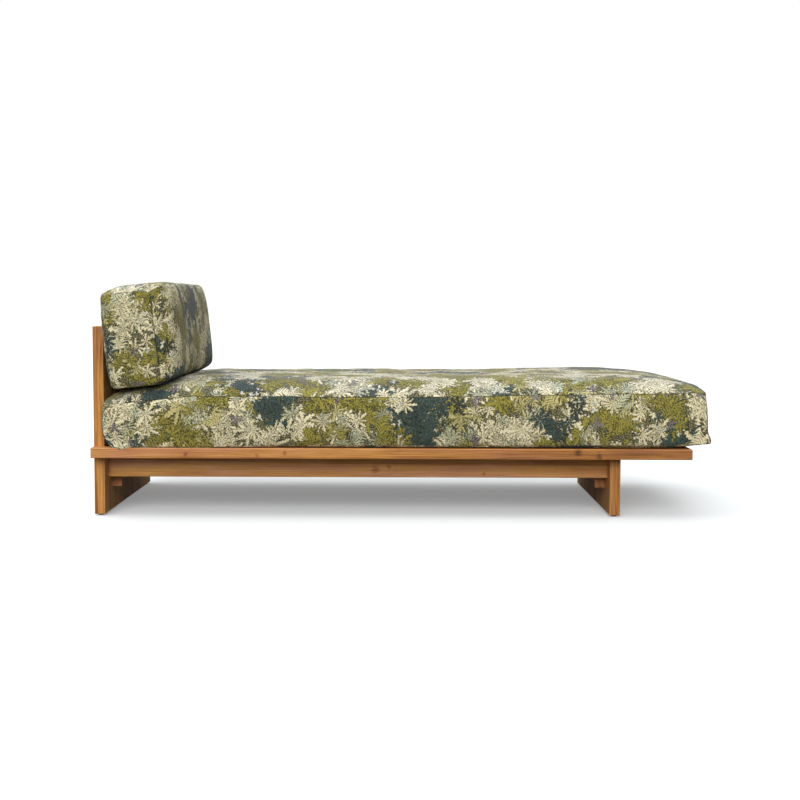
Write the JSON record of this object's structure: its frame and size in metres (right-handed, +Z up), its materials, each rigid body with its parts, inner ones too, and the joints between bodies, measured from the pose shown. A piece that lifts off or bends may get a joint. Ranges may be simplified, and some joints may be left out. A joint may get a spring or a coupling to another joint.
{
  "type": "outdoor daybed",
  "caption": "Low hardwood daybed: slab ends, slatted platform, raised head slab as backrest, boxed mattress and leaning back cushion.",
  "frame": {"origin": "on the floor under the middle of the whole piece, mattress overhang included", "axes": "+X along the length from the head end to the foot end, +Y from the front to the rear, +Z up"},
  "size_m": [2.06, 0.9, 0.7844],
  "materials": {
    "teak": "oiled, satin",
    "teak_rail": "oiled, satin",
    "teak_beam": "oiled, satin",
    "teak_slat": "sanded, oiled",
    "dowel_wood": "turned, bare",
    "stainless_steel": "bright rolled",
    "glide_nylon": "moulded, matt",
    "leaf_fabric": "woven outdoor cloth with a leafy pattern",
    "foam": "open-cell foam"
  },
  "bodies": {
    "frame": {"head_panel": "teak", "foot_panel": "teak", "front_rail": "teak_rail", "rear_rail": "teak_rail", "foot_rail": "teak_rail", "front_beam": "teak_beam", "rear_beam": "teak_beam", "head_cross_rail": "teak_beam", "foot_cross_rail": "teak_beam", "front_ledger": "teak_beam", "rear_ledger": "teak_beam", "rail_dowels": "dowel_wood", "beam_bolts": "stainless_steel", "bolt_washers": "stainless_steel", "barrel_nuts": "stainless_steel", "slat_screws": "stainless_steel", "ledger_screws": "stainless_steel", "cross_rail_screws": "stainless_steel", "floor_glides": "glide_nylon", "slat_01": "teak_slat", "slat_02": "teak_slat", "slat_03": "teak_slat", "slat_04": "teak_slat", "slat_05": "teak_slat", "slat_06": "teak_slat", "slat_07": "teak_slat", "slat_08": "teak_slat", "slat_09": "teak_slat", "slat_10": "teak_slat", "slat_11": "teak_slat", "slat_12": "teak_slat", "slat_13": "teak_slat", "slat_14": "teak_slat", "slat_15": "teak_slat"},
    "mattress": {"mattress_cover": "leaf_fabric", "mattress_core": "foam"},
    "back_cushion": {"back_cushion_cover": "leaf_fabric", "back_cushion_core": "foam"}
  },
  "joints": [
    {"name": "mattress_lift", "type": "slide", "parent": "frame", "child": "mattress", "axis": [0, 0, 1], "range_m": [0, 0.45]},
    {"name": "back_cushion_lift", "type": "slide", "parent": "mattress", "child": "back_cushion", "axis": [0, 0, 1], "range_m": [0, 0.35]}
  ]
}
